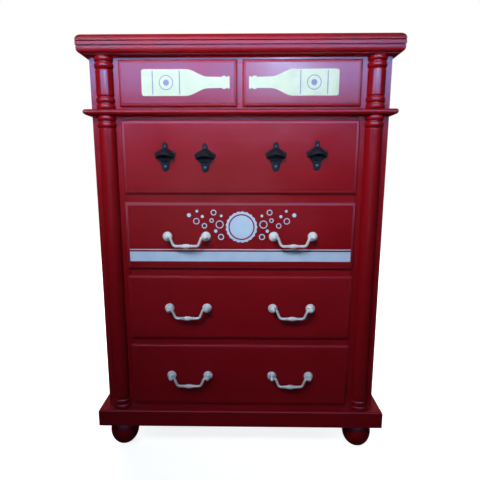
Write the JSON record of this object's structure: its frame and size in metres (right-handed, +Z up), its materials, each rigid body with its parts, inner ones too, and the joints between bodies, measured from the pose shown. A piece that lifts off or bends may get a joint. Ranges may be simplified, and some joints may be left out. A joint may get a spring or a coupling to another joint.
{
  "type": "chest of drawers",
  "caption": "Tall painted wooden chest of drawers with wall-mount bottle openers on one drawer front, drop-bail pulls, split corner columns and bun feet.",
  "frame": {"origin": "on the floor, under the middle of the chest's bounding box", "axes": "+X to the viewer's right, +Y from the drawer fronts to the back, +Z up"},
  "size_m": [0.92, 0.4693, 1.297],
  "materials": {
    "red_paint": "brushed semi-gloss deep red paint over wood",
    "bare_wood": "unfinished pine",
    "hardboard": "smooth brown hardboard",
    "plywood": "unfinished plywood",
    "white_enamel": "hand-painted white enamel over cast metal",
    "black_iron": "black painted cast iron, slightly rough"
  },
  "bodies": {
    "case": {"top_board": "red_paint", "cornice_moulding": "red_paint", "waist_moulding": "red_paint", "side_panel_left": "red_paint", "side_panel_right": "red_paint", "back_panel": "plywood", "face_frame": "red_paint", "column_upper_left": "red_paint", "column_upper_right": "red_paint", "column_lower_left": "red_paint", "column_lower_right": "red_paint", "web_frame_1": "red_paint", "web_frame_2": "red_paint", "web_frame_3": "red_paint", "web_frame_4": "red_paint", "base_plinth": "red_paint", "bun_foot_front_left": "red_paint", "bun_foot_front_right": "red_paint", "bun_foot_back_left": "red_paint", "bun_foot_back_right": "red_paint"},
    "top_left_drawer": {"top_left_drawer_front": "red_paint", "top_left_drawer_box": "bare_wood", "top_left_drawer_base": "hardboard"},
    "top_right_drawer": {"top_right_drawer_front": "red_paint", "top_right_drawer_box": "bare_wood", "top_right_drawer_base": "hardboard"},
    "second_drawer": {"second_drawer_front": "red_paint", "second_drawer_box": "bare_wood", "second_drawer_base": "hardboard", "bottle_opener_1": "black_iron", "bottle_opener_2": "black_iron", "bottle_opener_3": "black_iron", "bottle_opener_4": "black_iron"},
    "third_drawer": {"third_drawer_front": "red_paint", "third_drawer_box": "bare_wood", "third_drawer_base": "hardboard", "third_drawer_left_post_left": "white_enamel", "third_drawer_left_post_right": "white_enamel", "third_drawer_right_post_left": "white_enamel", "third_drawer_right_post_right": "white_enamel"},
    "fourth_drawer": {"fourth_drawer_front": "red_paint", "fourth_drawer_box": "bare_wood", "fourth_drawer_base": "hardboard", "fourth_drawer_left_post_left": "white_enamel", "fourth_drawer_left_post_right": "white_enamel", "fourth_drawer_right_post_left": "white_enamel", "fourth_drawer_right_post_right": "white_enamel"},
    "fifth_drawer": {"fifth_drawer_front": "red_paint", "fifth_drawer_box": "bare_wood", "fifth_drawer_base": "hardboard", "fifth_drawer_left_post_left": "white_enamel", "fifth_drawer_left_post_right": "white_enamel", "fifth_drawer_right_post_left": "white_enamel", "fifth_drawer_right_post_right": "white_enamel"},
    "third_drawer_left_bail": {"third_drawer_left_bail": "white_enamel"},
    "third_drawer_right_bail": {"third_drawer_right_bail": "white_enamel"},
    "fourth_drawer_left_bail": {"fourth_drawer_left_bail": "white_enamel"},
    "fourth_drawer_right_bail": {"fourth_drawer_right_bail": "white_enamel"},
    "fifth_drawer_left_bail": {"fifth_drawer_left_bail": "white_enamel"},
    "fifth_drawer_right_bail": {"fifth_drawer_right_bail": "white_enamel"}
  },
  "joints": [
    {"name": "top_left_drawer_slide", "type": "slide", "parent": "case", "child": "top_left_drawer", "axis": [0, -1, 0], "range_m": [0, 0.3]},
    {"name": "top_right_drawer_slide", "type": "slide", "parent": "case", "child": "top_right_drawer", "axis": [0, -1, 0], "range_m": [0, 0.3]},
    {"name": "second_drawer_slide", "type": "slide", "parent": "case", "child": "second_drawer", "axis": [0, -1, 0], "range_m": [0, 0.3]},
    {"name": "third_drawer_slide", "type": "slide", "parent": "case", "child": "third_drawer", "axis": [0, -1, 0], "range_m": [0, 0.3]},
    {"name": "fourth_drawer_slide", "type": "slide", "parent": "case", "child": "fourth_drawer", "axis": [0, -1, 0], "range_m": [0, 0.3]},
    {"name": "fifth_drawer_slide", "type": "slide", "parent": "case", "child": "fifth_drawer", "axis": [0, -1, 0], "range_m": [0, 0.3]},
    {"name": "third_drawer_left_bail_swing", "type": "hinge", "parent": "third_drawer", "child": "third_drawer_left_bail", "pos_m": [-0.161, -0.2275, 0.7275], "axis": [-1, 0, 0], "range_deg": [-28, 100]},
    {"name": "third_drawer_right_bail_swing", "type": "hinge", "parent": "third_drawer", "child": "third_drawer_right_bail", "pos_m": [0.161, -0.2275, 0.7275], "axis": [-1, 0, 0], "range_deg": [-28, 100]},
    {"name": "fourth_drawer_left_bail_swing", "type": "hinge", "parent": "fourth_drawer", "child": "fourth_drawer_left_bail", "pos_m": [-0.161, -0.2275, 0.5005], "axis": [-1, 0, 0], "range_deg": [-28, 100]},
    {"name": "fourth_drawer_right_bail_swing", "type": "hinge", "parent": "fourth_drawer", "child": "fourth_drawer_right_bail", "pos_m": [0.161, -0.2275, 0.5005], "axis": [-1, 0, 0], "range_deg": [-28, 100]},
    {"name": "fifth_drawer_left_bail_swing", "type": "hinge", "parent": "fifth_drawer", "child": "fifth_drawer_left_bail", "pos_m": [-0.161, -0.2275, 0.2735], "axis": [-1, 0, 0], "range_deg": [-28, 100]},
    {"name": "fifth_drawer_right_bail_swing", "type": "hinge", "parent": "fifth_drawer", "child": "fifth_drawer_right_bail", "pos_m": [0.161, -0.2275, 0.2735], "axis": [-1, 0, 0], "range_deg": [-28, 100]}
  ]
}
